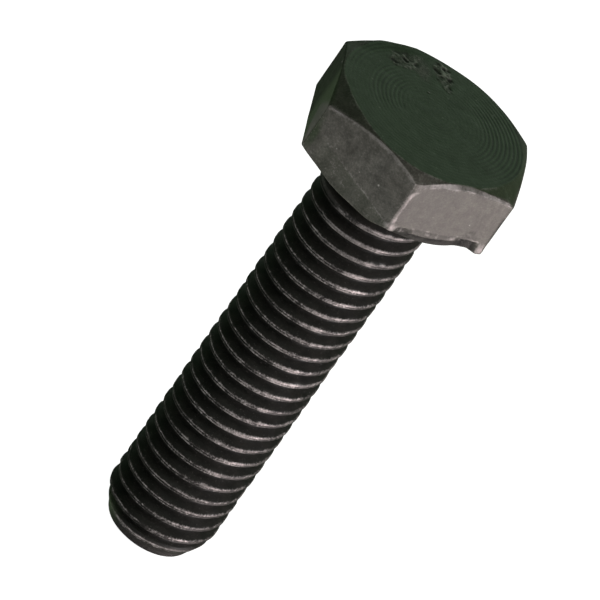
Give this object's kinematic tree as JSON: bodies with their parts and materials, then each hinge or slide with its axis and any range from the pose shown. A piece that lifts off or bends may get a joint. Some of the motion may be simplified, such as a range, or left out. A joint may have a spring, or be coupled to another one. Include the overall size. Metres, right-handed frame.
{
  "type": "hex bolt",
  "caption": "Fully threaded M10 hex bolt in one blackened steel piece: chamfered hexagon head on a right-hand threaded shank with a chamfered end.",
  "frame": {"origin": "centre of the bearing face under the head, on the bolt's axis", "axes": "+Z along the bolt's axis, from the thread end towards the head; two corners of the hexagon lie on the X axis and two wrench flats face +Y and -Y"},
  "size_m": [0.0192, 0.0168, 0.0464],
  "materials": {
    "blackened_steel": "black oxide over forged and rolled steel, oily satin, worn to bare grey metal on the edges and thread crests"
  },
  "bodies": {
    "root": {"hex_bolt": "blackened_steel"}
  },
  "joints": []
}
